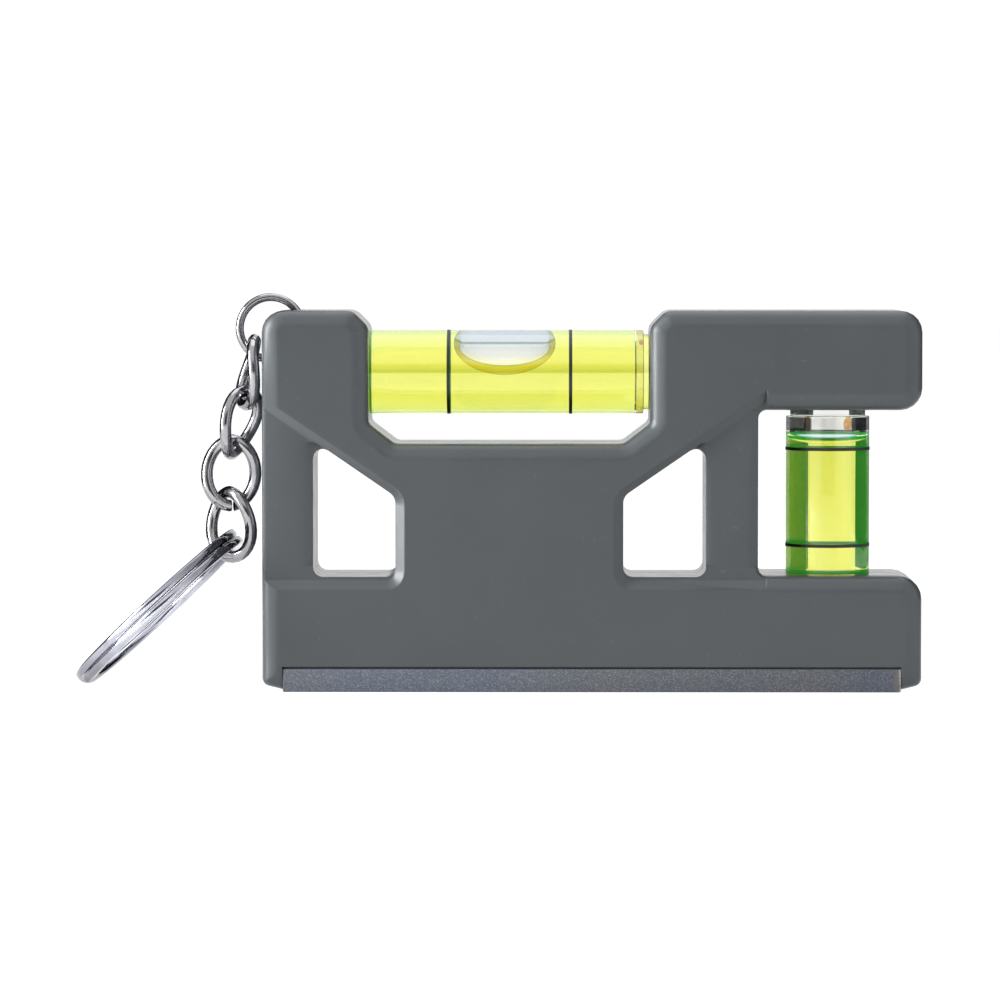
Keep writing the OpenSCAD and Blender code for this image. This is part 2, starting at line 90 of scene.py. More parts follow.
class VialLook(bpy.types.PropertyGroup):
    """Both vials. The sizes match the CAD solids."""

    tube_radius: bpy.props.FloatProperty(
        name="Tube radius", description="Outer radius of a vial",
        default=4.6 * MM, min=4 * MM, max=5 * MM, unit="LENGTH")
    chamber_radius: bpy.props.FloatProperty(
        name="Chamber radius", description="Radius of the chamber at its ends",
        default=3.5 * MM, min=3 * MM, max=4 * MM, unit="LENGTH")
    barrel_rise: bpy.props.FloatProperty(
        name="Barrel rise", description="How much the chamber widens towards its middle",
        default=0.12 * MM, min=0, max=0.3 * MM, unit="LENGTH")
    end_wall: bpy.props.FloatProperty(
        name="End wall", description="Thickness of the tube's closed end",
        default=1.2 * MM, min=0.5 * MM, max=2 * MM, unit="LENGTH")
    stub_radius: bpy.props.FloatProperty(
        name="Stub radius", description="Radius of the plug outside the tube",
        default=4.15 * MM, min=3.5 * MM, max=4.5 * MM, unit="LENGTH")
    line_width: bpy.props.FloatProperty(
        name="Line width", description="Width of a printed line",
        default=0.35 * MM, min=0.1 * MM, max=1 * MM, unit="LENGTH")
    liquid: bpy.props.FloatVectorProperty(
        name="Liquid", description="Share of each colour that the liquid lets through",
        default=(0.945, 0.875, 0.20), size=3, min=0, max=1, subtype="COLOR")
    density: bpy.props.FloatProperty(
        name="Density", description="How strongly the liquid absorbs, for each metre",
        default=420, min=0, max=2000)
    # The liquid's fluorescence is a painted glow: the liquid emits this colour whatever light falls on it.
    glow: bpy.props.FloatVectorProperty(
        name="Glow", description="Colour of the liquid's fluorescence",
        default=(0.008, 0.17, 0.02), size=3, min=0, max=1, subtype="COLOR")


class MetalLook(bpy.types.PropertyGroup):
    """Chain and key ring."""

    nickel: bpy.props.FloatVectorProperty(
        name="Nickel", description="Colour of the chain's plating",
        default=(0.36, 0.355, 0.37), size=3, min=0, max=1, subtype="COLOR")
    ring: bpy.props.FloatVectorProperty(
        name="Ring", description="Colour of the key ring's plating",
        default=(0.62, 0.63, 0.72), size=3, min=0, max=1, subtype="COLOR")
    wear: bpy.props.FloatProperty(
        name="Wear", description="Roughness of the plating where it is worn",
        default=0.2, min=0, max=1, subtype="FACTOR")


class StudioLook(bpy.types.PropertyGroup):
    """Floor, lamps and camera."""

    floor_width: bpy.props.FloatProperty(
        name="Floor width", description="Width of the floor, left to right",
        default=0.7, min=0.3, max=5, unit="LENGTH")
    key_power: bpy.props.FloatProperty(
        name="Key lamp", description="Power of the large lamp above the camera",
        default=0.7, min=0, max=50, unit="POWER")
    top_power: bpy.props.FloatProperty(
        name="Top lamp", description="Power of the lamp over the level",
        default=1.5, min=0, max=50, unit="POWER")
    side_power: bpy.props.FloatProperty(
        name="Left lamp", description="Power of the lamp at the left",
        default=2.6, min=0, max=50, unit="POWER")
    strip_power: bpy.props.FloatProperty(
        name="Left strip", description="Power of the narrow lamp that lights the left edges",
        default=10, min=0, max=50, unit="POWER")
    right_power: bpy.props.FloatProperty(
        name="Right lamp", description="Power of the lamp at the right",
        default=2.2, min=0, max=50, unit="POWER")


LOOKS = {"body_look": BodyLook, "vial_look": VialLook, "metal_look": MetalLook, "studio_look": StudioLook}


# Modelling helpers


def deselect():
    """Nothing is selected, as before adding a primitive by hand."""
    if bpy.context.object and bpy.context.object.mode != "OBJECT":
        bpy.ops.object.mode_set(mode="OBJECT")
    bpy.ops.object.select_all(action="DESELECT")


def make_active(piece):
    deselect()
    piece.select_set(True)
    bpy.context.view_layer.objects.active = piece


@contextmanager
def whole_mesh_in_edit_mode():
    """The active piece's mesh is open in edit mode, with all of it selected."""
    bpy.ops.object.mode_set(mode="EDIT")
    bpy.ops.mesh.select_all(action="SELECT")
    yield
    bpy.ops.object.mode_set(mode="OBJECT")


def apply_place(piece):
    """The piece's object goes to the origin, with its place in its mesh."""
    make_active(piece)
    bpy.ops.object.transform_apply(location=True, rotation=True, scale=True)


def smooth(piece, degrees):
    make_active(piece)
    bpy.ops.object.shade_smooth_by_angle(angle=math.radians(degrees))


def outward(piece):
    """Doubles are merged and the faces turned outwards."""
    make_active(piece)
    with whole_mesh_in_edit_mode():
        bpy.ops.mesh.remove_doubles(threshold=1e-7)
        bpy.ops.mesh.normals_make_consistent(inside=False)


def finish_piece(piece, body, nodes, finish):
    """The piece gets its finish, rides on its body and stands for its CAD nodes."""
    piece.data.materials.clear()
    piece.data.materials.append(finish)
    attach(piece, body)
    if nodes:
        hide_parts(*nodes)
    return piece


def refined_copy(node, name, degrees, flats=False):
    """A CAD node's shape as one clean skin, shaded smooth up to the given angle."""
    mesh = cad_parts[node].data.copy()
    mesh.name = name
    piece = bpy.data.objects.new(name, mesh)
    bpy.context.scene.collection.objects.link(piece)
    make_active(piece)
    bpy.ops.mesh.customdata_custom_splitnormals_clear()
    with whole_mesh_in_edit_mode():
        bpy.ops.mesh.remove_doubles(threshold=2e-6)
        if flats:
            bpy.ops.mesh.dissolve_limited(angle_limit=math.radians(0.3))
    smooth(piece, degrees)
    if flats:
        weigh = piece.modifiers.new("Flats stay flat", "WEIGHTED_NORMAL")
        weigh.mode = "FACE_AREA"
        weigh.weight = 50
        weigh.keep_sharp = True
        make_active(piece)
        bpy.ops.object.modifier_apply(modifier=weigh.name)
    return piece


def turned(name, rings, hollow=False, segments=128):
    """A turned piece along +Z: a disc is extruded and resized through (radius, height) rings.

    A hollow one starts from a bare circle, and its last ring meets its first again.
    """
    deselect()
    radius, height = rings[0]
    bpy.ops.mesh.primitive_circle_add(
        vertices=segments, radius=radius, fill_type="NOTHING" if hollow else "NGON",
        location=(0, 0, height))
    piece = bpy.context.object
    piece.name = name
    piece.data.name = name
    apply_place(piece)
    extrude = bpy.ops.mesh.extrude_edges_move if hollow else bpy.ops.mesh.extrude_region_move
    with whole_mesh_in_edit_mode():
        for (r0, z0), (r1, z1) in zip(rings, rings[1:]):
            extrude(TRANSFORM_OT_translate={"value": (0, 0, z1 - z0)})
            if abs(r1 - r0) > 1e-9:
                share = r1 / r0
                bpy.ops.transform.resize(value=(share, share, 1), center_override=(0, 0, z1))
    outward(piece)
    return piece


def place(piece, at, along, degrees):
    """A turned piece is moved to its start, laid along its axis and shaded smooth."""
    turn = Matrix.Rotation(math.radians(90), 4, "Y") if along == "X" else Matrix.Identity(4)
    piece.matrix_world = Matrix.Translation(at) @ turn
    apply_place(piece)
    smooth(piece, degrees)


# Finishes


def finish_nodes(name):
    """A new material with its node tree's parts."""
    finish = bpy.data.materials.new(name)
    finish.use_nodes = True
    tree = finish.node_tree
    return finish, tree, tree.nodes["Principled BSDF"]


def add(tree, kind, **values):
    """A node whose values go to its sockets or, where it has none of that name, to its settings."""
    node = tree.nodes.new(kind)
    for key, value in values.items():
        label = key.replace("_", " ")
        if label in node.inputs:
            node.inputs[label].default_value = value
        else:
            setattr(node, key, value)
    return node


def ramp(tree, source, stops):
    """A colour ramp from a list of (position, colour)."""
    node = tree.nodes.new("ShaderNodeValToRGB")
    marks = node.color_ramp.elements
    while len(marks) < len(stops):
        marks.new(0.5)
    for mark, (position, colour) in zip(marks, stops):
        mark.position = position
        mark.color = (*colour, 1) if len(colour) == 3 else colour
    tree.links.new(source, node.inputs["Fac"])
    return node


def noise(tree, scale, detail=2.0, roughness=0.5):
    """Noise that stays on the piece when the piece moves."""
    where = add(tree, "ShaderNodeTexCoord")
    node = add(tree, "ShaderNodeTexNoise", Scale=scale, Detail=detail, Roughness=roughness)
    tree.links.new(where.outputs["Object"], node.inputs["Vector"])
    return node


def coordinate(tree, letter, space="Object"):
    """One coordinate of a point, or of the way its surface faces for the space called Normal."""
    where = add(tree, "ShaderNodeTexCoord")
    parts = add(tree, "ShaderNodeSeparateXYZ")
    tree.links.new(where.outputs[space], parts.inputs["Vector"])
    return parts.outputs[letter]


def reckon(tree, operation, *values):
    """The result of a sum of numbers and other nodes' outputs."""
    node = add(tree, "ShaderNodeMath", operation=operation)
    for socket, value in zip(node.inputs, values):
        if isinstance(value, (int, float)):
            socket.default_value = value
        else:
            tree.links.new(value, socket)
    return node.outputs[0]


def between(tree, value, low, high):
    """0 where a value is low and 1 where it is high."""
    node = add(tree, "ShaderNodeMapRange")
    tree.links.new(value, node.inputs["Value"])
    node.inputs["From Min"].default_value = low
    node.inputs["From Max"].default_value = high
    return node.outputs["Result"]


def mixed(tree, factor, first, second, blend="MIX"):
    """Two colours mixed. Factor and colours are values or other nodes' outputs."""
    node = add(tree, "ShaderNodeMix", data_type="RGBA", blend_type=blend)
    for name, value in (("Factor", factor), ("A", first), ("B", second)):
        if isinstance(value, (int, float)):
            node.inputs[name].default_value = value
        elif isinstance(value, tuple):
            node.inputs[name].default_value = (*value, 1)
        else:
            tree.links.new(value, node.inputs[name])
    return node.outputs["Result"]


def greys(tree, source, low, high):
    """A ramp between two (position, grey) stops."""
    return ramp(tree, source.outputs["Fac"], [(at, (grey,) * 3) for at, grey in (low, high)])


def relief(tree, skin, heights, strength, depth_mm):
    """Shallow bumps from a noise."""
    bump = add(tree, "ShaderNodeBump", Strength=strength, Distance=depth_mm * MM)
    tree.links.new(heights.outputs["Fac"], bump.inputs["Height"])
    tree.links.new(bump.outputs["Normal"], skin.inputs["Normal"])
    return bump


def clear_nodes(name, ior, tint=WHITE):
    """A new material that lets light through."""
    finish, tree, skin = finish_nodes(name)
    skin.inputs["Transmission Weight"].default_value = 1.0
    skin.inputs["IOR"].default_value = ior
    skin.inputs["Roughness"].default_value = 0.0
    skin.inputs["Base Color"].default_value = (*tint, 1)
    return finish, tree, skin


def absorb(tree, colour, density):
    """The inside takes light away, more of it the thicker the piece is."""
    depth = add(tree, "ShaderNodeVolumeAbsorption", Density=density)
    depth.inputs["Color"].default_value = (*colour, 1)
    tree.links.new(depth.outputs["Volume"], tree.nodes["Material Output"].inputs["Volume"])


def plastic_finish(look):
    """Fine moulded grain on the faces, smoother walls, a slight mottle and softly rounded edges."""
    finish, tree, skin = finish_nodes("moulded grey plastic")
    link = tree.links.new
    skin.inputs["Specular IOR Level"].default_value = 0.5
    mottle = noise(tree, 90, 3.0)
    base = tuple(look.plastic)
    tone = ramp(tree, mottle.outputs["Fac"], [
        (0.3, tuple(c * 0.96 for c in base)), (0.7, tuple(c * 1.05 for c in base))])
    specks = noise(tree, 1700, 0.0)
    dust = ramp(tree, specks.outputs["Fac"], [(0.80, BLACK), (0.84, WHITE)])
    light = tuple(c * 1.25 for c in base)
    link(mixed(tree, dust.outputs["Color"], tone.outputs["Color"], light), skin.inputs["Base Color"])
    rub = noise(tree, 400, 3.0)
    matt = greys(tree, rub, (0.3, 0.34), (0.7, 0.42))
    polished = greys(tree, rub, (0.3, 0.20), (0.7, 0.26))
    front = reckon(tree, "ABSOLUTE", coordinate(tree, "Y", "Normal"))
    share = ramp(tree, front, [(0.12, BLACK), (0.75, WHITE)])
    gloss = mixed(tree, share.outputs["Color"], polished.outputs["Color"], matt.outputs["Color"])
    link(gloss, skin.inputs["Roughness"])
    round_off = add(tree, "ShaderNodeBevel", Radius=look.edge_radius)
    round_off.samples = 6
    bump = relief(tree, skin, noise(tree, look.grain, 1.0), 0.2, 0.02)
    link(round_off.outputs["Normal"], bump.inputs["Normal"])
    return finish


def magnet_finish(look):
    """Ground magnetic sheet: dark blue-grey with light specks, and frayed at its torn right end."""
    finish, tree, skin = finish_nodes("ground magnetic sheet")
    link = tree.links.new
    skin.inputs["Specular IOR Level"].default_value = 0.35
    where = add(tree, "ShaderNodeTexCoord")
    stretch = add(tree, "ShaderNodeMapping")
    stretch.inputs["Scale"].default_value = (0.7, 1, 1)
    link(where.outputs["Object"], stretch.inputs["Vector"])
    fine = add(tree, "ShaderNodeTexNoise", Scale=8500, Detail=3.0, Roughness=0.75)
    link(stretch.outputs["Vector"], fine.inputs["Vector"])
    base = tuple(look.magnet)
    tone = ramp(tree, fine.outputs["Fac"], [
        (0.32, tuple(c * 0.72 for c in base)), (0.52, base), (0.74, tuple(look.magnet_speck))])
    grey = noise(tree, 60, 2.0)
    fade = ramp(tree, grey.outputs["Fac"], [(0.4, (0.93, 0.95, 1.0)), (0.65, (1.06, 1.0, 0.93))])
    patchy = mixed(tree, 1.0, tone.outputs["Color"], fade.outputs["Color"], "MULTIPLY")
    right_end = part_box("magnet_strip")[1][0]
    tears = noise(tree, 1500, 4.0, 0.8)
    ragged = reckon(tree, "MULTIPLY_ADD", tears.outputs["Fac"], 1.1 * MM, coordinate(tree, "X"))
    torn = between(tree, ragged, right_end - 0.5 * MM, right_end + 0.5 * MM)
    bare = ramp(tree, torn, [(0.28, BLACK), (0.34, WHITE)])
    frayed = ramp(tree, torn, [
        (0.30, (0.105, 0.098, 0.100)), (0.86, (0.135, 0.128, 0.130)), (0.96, (0.33, 0.31, 0.31))])
    ends = mixed(tree, bare.outputs["Color"], patchy, frayed.outputs["Color"])
    link(ends, skin.inputs["Base Color"])
    skin.inputs["Roughness"].default_value = 0.62
    relief(tree, skin, fine, 0.4, 0.03)
    return finish


def dark_finish(name, colour, roughness, scale):
    """A dark skin whose roughness varies a little."""
    finish, tree, skin = finish_nodes(name)
    fine = noise(tree, scale, 2.0)
    tone = ramp(tree, fine.outputs["Fac"], [(0.3, tuple(c * 0.7 for c in colour)), (0.7, colour)])
    tree.links.new(tone.outputs["Color"], skin.inputs["Base Color"])
    gloss = greys(tree, fine, (0.3, roughness * 0.85), (0.7, roughness))
    tree.links.new(gloss.outputs["Color"], skin.inputs["Roughness"])
    return finish


def clear_finish():
    """Clear acrylic with a trace of waviness from moulding."""
    finish, tree, skin = clear_nodes("clear acrylic", PLASTIC_IOR, (0.985, 0.99, 0.985))
    relief(tree, skin, noise(tree, 260, 1.0), 0.08, 0.02)
    return finish


def liquid_finish(look):
    """Fluorescent yellow-green liquid, deeper in colour the thicker it is. Its fluorescence is a painted
    glow, the same whatever light falls on it.
    """
    finish, tree, skin = clear_nodes("fluorescent vial liquid", LIQUID_IOR, (0.99, 1.0, 0.93))
    # Painted glow for the fluorescence, the same under any light.
    skin.inputs["Emission Color"].default_value = (*look.glow, 1)
    skin.inputs["Emission Strength"].default_value = 0.6
    absorb(tree, look.liquid, look.density)
    return finish


def air_finish(look, share=0.9, glow_whiteness=0.0):
    """Air in the liquid: light bends the other way, and a painted glow gives back a share of the liquid's
    colour, standing in for the light that air lets through.

    Whiteness is added to the painted glow's colour, so that a deep bubble isn't tinted by what it lacks.
    """
    finish, tree, skin = finish_nodes("air bubble")
    tree.nodes.remove(skin)
    skin = add(tree, "ShaderNodeBsdfGlass", IOR=1 / LIQUID_IOR, Roughness=0.0)
    skin.inputs["Color"].default_value = (0.97, 0.96, 1.0, 1)
    # Painted glow: the air emits a share of what the liquid absorbs, standing in for the light that passes
    # through the air unabsorbed.
    painted_glow = add(tree, "ShaderNodeEmission")
    lost = [(1 - c) * look.density for c in look.liquid]
    most = max(lost)
    painted_glow.inputs["Color"].default_value = (*[min(1, c / most + glow_whiteness) for c in lost], 1)
    painted_glow.inputs["Strength"].default_value = most * share
    out = tree.nodes["Material Output"]
    tree.links.new(skin.outputs["BSDF"], out.inputs["Surface"])
    tree.links.new(painted_glow.outputs["Emission"], out.inputs["Volume"])
    return finish


# Lowest and highest point of the level bubble
BUBBLE_HEIGHTS = (34.6 * MM, 38.3 * MM)


def long_air_finish(look):
    """The level bubble's air, in painted light: an amber rim set by the way the surface faces, and pale,
    lilac and dark bands set by height. Light goes straight through.
    """
    finish = air_finish(look, 0.85, 0.12)
    finish.name = "long air bubble"
    tree = finish.node_tree
    link = tree.links.new
    tree.nodes.remove(next(n for n in tree.nodes if n.type == "BSDF_GLASS"))
    straight = add(tree, "ShaderNodeBsdfTransparent")
    # Painted light: the rim's green, amber and white come from the way the surface faces. They stand in
    # for light bent and mirrored at the bubble's edge.
    front = reckon(tree, "ABSOLUTE", coordinate(tree, "Y", "Normal"))
    upper = reckon(tree, "MULTIPLY", coordinate(tree, "Z", "Normal"), 1.5)
    rim = ramp(tree, reckon(tree, "MAXIMUM", front, upper), [
        (0.10, (0.42, 0.48, 0.05)), (0.18, (0.83, 0.72, 0.03)), (0.61, (0.87, 0.77, 0.05)),
        (0.64, (0.36, 0.42, 0.10)), (0.68, WHITE)])
    # Painted light: pale low down, lilac in the middle, and a painted dark line near the top, all set by
    # height.
    height = between(tree, coordinate(tree, "Z"), *BUBBLE_HEIGHTS)
    pale, lilac, dark = (0.92, 0.86, 1.0), (0.73, 0.67, 1.0), (0.28, 0.26, 0.36)
    tint = ramp(tree, height, [
        (0.34, pale), (0.50, lilac), (0.785, lilac), (0.80, dark), (0.835, dark), (0.85, lilac)])
    both = mixed(tree, 1.0, rim.outputs["Color"], tint.outputs["Color"], "MULTIPLY")
    link(both, straight.inputs["Color"])
    link(straight.outputs["BSDF"], tree.nodes["Material Output"].inputs["Surface"])
    return finish


def plug_finish(name, tint):
    """Clear plug that the glue has clouded a little. Its tint is painted light: the colour of the light
    that comes along the vial.
    """
    finish, tree, skin = clear_nodes(name, PLASTIC_IOR, tint)
    gloss = greys(tree, noise(tree, 700, 3.0), (0.4, 0.0), (0.75, 0.16))
    tree.links.new(gloss.outputs["Color"], skin.inputs["Roughness"])
    return finish


def glue_finish(name, tint):
    """Nearly clear glue, a little deeper in colour where it is thick."""
    finish, tree, skin = clear_nodes(name, PLASTIC_IOR)
    blot = noise(tree, 900, 3.0)
    tone = ramp(tree, blot.outputs["Fac"], [(0.35, tuple(c * 0.95 for c in tint)), (0.6, tint)])
    tree.links.new(tone.outputs["Color"], skin.inputs["Base Color"])
    gloss = greys(tree, blot, (0.4, 0.0), (0.75, 0.06))
    tree.links.new(gloss.outputs["Color"], skin.inputs["Roughness"])
    return finish


def bead_finish():
    """Amber glue that has run inside the tube. It touches the clear plastic, so light goes straight in."""
    finish, tree, skin = clear_nodes("amber glue bead", 1.0)
    blot = noise(tree, 2600, 2.0)
    tone = ramp(tree, blot.outputs["Fac"], [(0.35, (0.62, 0.40, 0.08)), (0.6, (0.95, 0.74, 0.26))])
    tree.links.new(tone.outputs["Color"], skin.inputs["Base Color"])
    absorb(tree, (0.86, 0.42, 0.02), 3600)
    return finish


def plated_finish(name, colour, wear, scratches, painted_reflection_span=None):
    """Bright plating with fine scratches and duller, worn patches. Given a span of heights, it is painted
    darker towards both ends of that span: a painted dark reflection.
    """
    finish, tree, skin = finish_nodes(name)
    link = tree.links.new
    skin.inputs["Metallic"].default_value = 1.0
    patch = noise(tree, 500, 4.0, 0.6)
    tone = ramp(tree, patch.outputs["Fac"], [
        (0.35, tuple(c * 0.84 for c in colour)), (0.65, tuple(min(1, c * 1.1) for c in colour))])
    shade = tone.outputs["Color"]
    # Painted reflection: the colour is darkened towards both ends of the span of heights, standing in for
    # dark surroundings mirrored there.
    if painted_reflection_span:
        fade = ramp(tree, between(tree, coordinate(tree, "Z"), *painted_reflection_span), [
            (0.0, (0.22,) * 3), (0.16, (0.62,) * 3), (0.35, WHITE), (0.62, (0.95,) * 3),
            (0.85, (0.30,) * 3), (1.0, (0.22,) * 3)])
        shade = mixed(tree, 1.0, shade, fade.outputs["Color"], "MULTIPLY")
    link(shade, skin.inputs["Base Color"])
    gloss = greys(tree, patch, (0.3, wear * 0.35), (0.75, wear))
    link(gloss.outputs["Color"], skin.inputs["Roughness"])
    relief(tree, skin, noise(tree, scratches, 2.0), 0.12, 0.01)
    return finish


# Vials


# start is the middle of the tube's closed end. The plug's spigot fills the last part of the tube's
# length. The two lines are given by their place along the vial's axis.
Vial = namedtuple("Vial", "name start length spigot along lines")
VIALS = (
    Vial("level", Vector((-27.3, 0, 34.8)) * MM, 33 * MM, 0.95 * MM, "X", (-15.7 * MM, -2.3 * MM)),
    Vial("plumb", Vector((26.0, 0, 9.8)) * MM, 20.2 * MM, 1.75 * MM, "Z", (15.8 * MM, 26.4 * MM)))

# Gap between the spigot and the chamber's wall. The liquid overlaps the wall by as much, so that no
# film of air shows between them.
WALL_GAP = 0.03 * MM
# How much wider than the chamber the tube's mouth is, and the softened edge round it
MOUTH_STEP = 0.1 * MM
MOUTH_EDGE = 0.12 * MM
# The plug's edges
PLUG_EDGE = 0.1 * MM
# How far a printed line lies in the tube's wall, and how far it stands out
LINE_SUNK = 0.005 * MM
LINE_PROUD = 0.04 * MM
# Angle up to which a turned piece is shaded smooth, in degrees
TURNED_SMOOTH = 35

# Beads of glue: vial, angle from the front in degrees, then depth below the mouth, half the width and
# half the height, in mm
BEADS = (("plumb", -38, 0.9, 0.42, 0.82), ("plumb", 33, 0.85, 0.52, 0.78), ("level", -57, 0.28, 0.4, 0.25))
# Distance of a bead's middle from the vial's axis, half its thickness and its unevenness
BEAD_OUT = 3.42 * MM
BEAD_HALF = 0.14 * MM
BEAD_UNEVEN = 0.05 * MM


def barrel(look, vial, grow=0):
    """(radius, height) rings of the chamber from its closed end up, made larger by grow."""
    low = look.end_wall - grow
    high = vial.length - vial.spigot + grow
    steps = 12
    rings = []
    for k in range(steps + 1):
        share = k / steps
        bulge = look.barrel_rise * 4 * share * (1 - share)
        rings.append((look.chamber_radius + bulge + grow, low + (high - low) * share))
    return rings


def tube_rings(look, vial):
    """The tube's rings: up its outside, over its softened mouth and down its chamber.

    A second ring close to each soft edge keeps the long wall's shading straight.
    """
    outer = look.tube_radius
    mouth = look.chamber_radius + MOUTH_STEP
    soft = MOUTH_EDGE
    length = vial.length
    return [
        (outer - soft, 0), (outer - soft * 0.3, soft * 0.3), (outer, soft), (outer, soft * 1.4),
        (outer, length - soft * 1.4), (outer, length - soft),
        (outer - soft * 0.3, length - soft * 0.3), (outer - soft, length),
        (mouth, length), (mouth, length - vial.spigot),
        *reversed(barrel(look, vial)),
    ]


# Operators


class LEVEL_OT_shells(bpy.types.Operator):
    """Front and rear shell, cleaned, softly shaded and given their moulded plastic"""

    bl_idname = "level.shells"
    bl_label = "Shells"

    def execute(self, context):
        look = context.scene.body_look
        finish = plastic_finish(look)
        for node in ("front_shell", "rear_shell"):
            piece = refined_copy(node, node + "_moulded", 32, flats=True)
            finish_piece(piece, "level", [node], finish)
        return {"FINISHED"}


class LEVEL_OT_magnet(bpy.types.Operator):
    """Magnetic strip with its worn edges, and the tape above it"""

    bl_idname = "level.magnet"
    bl_label = "Magnetic base"

    def execute(self, context):
        look = context.scene.body_look
        low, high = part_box("magnet_strip")
        deselect()
        bpy.ops.mesh.primitive_cube_add(size=1, location=(Vector(low) + Vector(high)) / 2)
        strip = bpy.context.object
        strip.name = "magnet_sheet"
        strip.scale = Vector(high) - Vector(low)
        apply_place(strip)
        with whole_mesh_in_edit_mode():
            bpy.ops.mesh.bevel(offset=0.12 * MM, segments=2, affect="EDGES")
        smooth(strip, 40)
        finish_piece(strip, "level", ["magnet_strip"], magnet_finish(look))
        tape = refined_copy("adhesive_tape", "tape_layer", 30)
        finish_piece(tape, "level", ["adhesive_tape"],
                     dark_finish("black adhesive tape", (0.015, 0.015, 0.016), 0.7, 3000))
        return {"FINISHED"}


class LEVEL_OT_vials(bpy.types.Operator):
    """Tubes, plugs, glue and printed lines of the level vial and the plumb vial"""

    bl_idname = "level.vials"
    bl_label = "Vials"

    def turned_piece(self, vial, name, rings, hollow=False):
        """A round piece of a vial, in its place."""
        piece = turned(name, rings, hollow)
        place(piece, vial.start, vial.along, TURNED_SMOOTH)
        return piece

    def plug(self, look, vial, finish):
        """The plug: a spigot in the tube and a wider stub outside it."""
        _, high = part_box(vial.name + "_vial_plug")
        end = (high[0] - vial.start.x) if vial.along == "X" else (high[2] - vial.start.z)
        inner = look.chamber_radius - WALL_GAP
        base = vial.length - vial.spigot
        stub = self.turned_piece(vial, vial.name + "_vial_stub", [
            (inner - 0.12 * MM, base + 0.02 * MM), (inner, base + 0.14 * MM),
            (inner, vial.length), (look.stub_radius, vial.length),
            (look.stub_radius, end - PLUG_EDGE), (look.stub_radius - PLUG_EDGE, end)])
        finish_piece(stub, "level", [vial.name + "_vial_plug"], finish)

    def glue(self, look, vial, finish):
        """The ring of glue between spigot and tube."""
        inner = look.chamber_radius - WALL_GAP - 0.01 * MM
        outer = look.chamber_radius + MOUTH_STEP + 0.01 * MM
        low = vial.length - vial.spigot + 0.15 * MM
        high = vial.length - 0.03 * MM
        ring = self.turned_piece(vial, vial.name + "_vial_glue_ring", [
            (inner, low), (inner, high), (outer, high), (outer, low), (inner, low)], hollow=True)
        finish_piece(ring, "level", [vial.name + "_vial_sealant"], finish)

    def beads(self, vial):
        """Drops of glue squeezed flat between the plug and the tube."""
        finish = bead_finish()
        for number, (name, angle, below, wide, tall) in enumerate(BEADS):
            if name != vial.name:
                continue
            deselect()
            bpy.ops.mesh.primitive_uv_sphere_add(
                segments=32, ring_count=16, radius=1, location=(0, -BEAD_OUT, vial.length - below * MM))
            bead = bpy.context.object
            bead.name = f"{vial.name}_vial_glue_bead_{number}"
            bead.scale = (wide * MM, BEAD_HALF, tall * MM)
            apply_place(bead)
            with whole_mesh_in_edit_mode():
                bpy.ops.transform.vertex_random(offset=BEAD_UNEVEN, seed=number + 3)
                bpy.ops.mesh.vertices_smooth(factor=0.5, repeat=2)
                bpy.ops.transform.rotate(
                    value=math.radians(-angle), orient_axis="Z", center_override=(0, 0, 0))
            outward(bead)
            place(bead, vial.start, vial.along, 180)
            finish_piece(bead, "level", [], finish)

    def lines(self, look, vial, finish):
        """Both printed lines, as one piece."""
        half = look.line_width / 2
        inside = look.tube_radius - LINE_SUNK
        outside = look.tube_radius + LINE_PROUD
        bands = []
        for at in vial.lines:
            middle = at - (vial.start.x if vial.along == "X" else vial.start.z)
            low, high = middle - half, middle + half
            bands.append(self.turned_piece(vial, vial.name + "_vial_line", [
                (inside, low), (outside, low), (outside, high), (inside, high), (inside, low)],
                hollow=True))
        make_active(bands[0])
        bands[1].select_set(True)
        bpy.ops.object.join()
        bands[0].name = vial.name + "_vial_printed_lines"
        finish_piece(bands[0], "level", [vial.name + "_vial_lines"], finish)

    def execute(self, context):
        look = context.scene.vial_look
        clear = clear_finish()
        plugs = {
            # The level plug's yellow is painted light, from the liquid's light piped along the vial.
            "level": plug_finish("clouded yellow plug", (0.90, 0.90, 0.26)),
            "plumb": plug_finish("clouded clear plug", (0.97, 0.97, 0.95))}
        glues = {
            # The level glue ring's yellow is painted light, from the liquid's light piped along the vial.
            "level": glue_finish("yellow glue", (0.99, 0.98, 0.66)),
            "plumb": glue_finish("clear glue", (1.0, 1.0, 0.98))}
        print_black = dark_finish("black printed line", (0.006, 0.008, 0.006), 0.5, 2500)
        for vial in VIALS:
            tube = self.turned_piece(vial, vial.name + "_vial_clear_tube", tube_rings(look, vial))
            finish_piece(tube, "level", [vial.name + "_vial_tube"], clear)
            self.plug(look, vial, plugs[vial.name])
            self.glue(look, vial, glues[vial.name])
            self.beads(vial)
            self.lines(look, vial, print_black)
        return {"FINISHED"}


class LEVEL_OT_liquids(bpy.types.Operator):
    """Liquid and air bubble of each vial"""

    bl_idname = "level.liquids"
    bl_label = "Liquids and bubbles"

    def execute(self, context):
        look = context.scene.vial_look
        liquid = liquid_finish(look)
        air = {"level": long_air_finish(look), "plumb": air_finish(look)}
        for vial in VIALS:
            name = vial.name
            fill = turned(name + "_fill", barrel(look, vial, WALL_GAP))
            place(fill, vial.start, vial.along, TURNED_SMOOTH)
            finish_piece(fill, "level", [name + "_vial_liquid"], liquid)
            bubble = refined_copy(name + "_bubble", name + "_air_bubble", 60)
            finish_piece(bubble, name + "_air", [name + "_bubble"], air[name])
        return {"FINISHED"}


# CAD nodes of the chain, with the bodies that they ride on
CHAIN = (("jump_ring", "hanger"), ("chain_link_1", "link_1"), ("chain_link_2", "link_2"),
         ("chain_link_3", "link_3"), ("chain_link_4", "link_4"))
